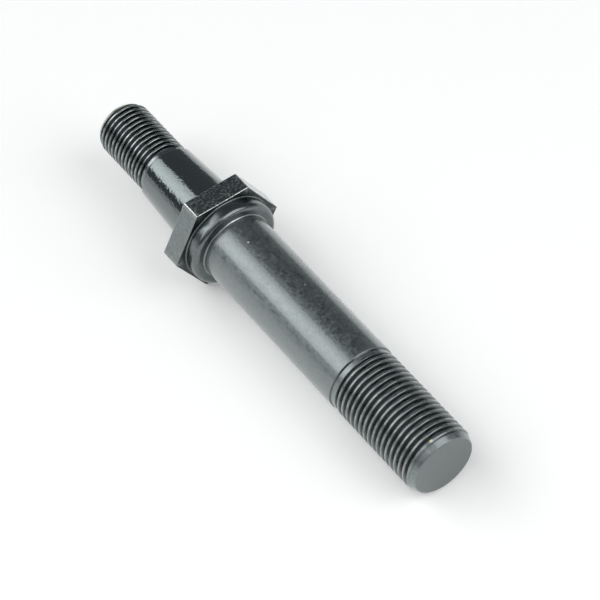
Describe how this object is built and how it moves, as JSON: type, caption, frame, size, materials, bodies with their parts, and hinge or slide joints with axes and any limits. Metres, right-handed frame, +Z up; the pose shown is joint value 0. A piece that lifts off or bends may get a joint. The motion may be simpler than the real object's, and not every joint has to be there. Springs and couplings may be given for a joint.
{
  "type": "tapered stud",
  "caption": "Black steel stud with a threaded plain shank, round collar, hexagon and a taper with a smaller thread, for bolting a rod end to a tapered hole.",
  "frame": {"origin": "centre of the lying stud's box, on the surface it rests on", "axes": "+X along the stud from the large thread to the small thread, +Z up from the hexagon flat it lies on; the stud's axis rises 2.59 degrees towards +X"},
  "size_m": [0.1142, 0.0254, 0.0224],
  "materials": {
    "black_oxide": "machined steel under a thin semi-gloss black oxide, worn bright along the hexagon's edges"
  },
  "bodies": {
    "root": {"stud": "black_oxide"}
  },
  "joints": []
}
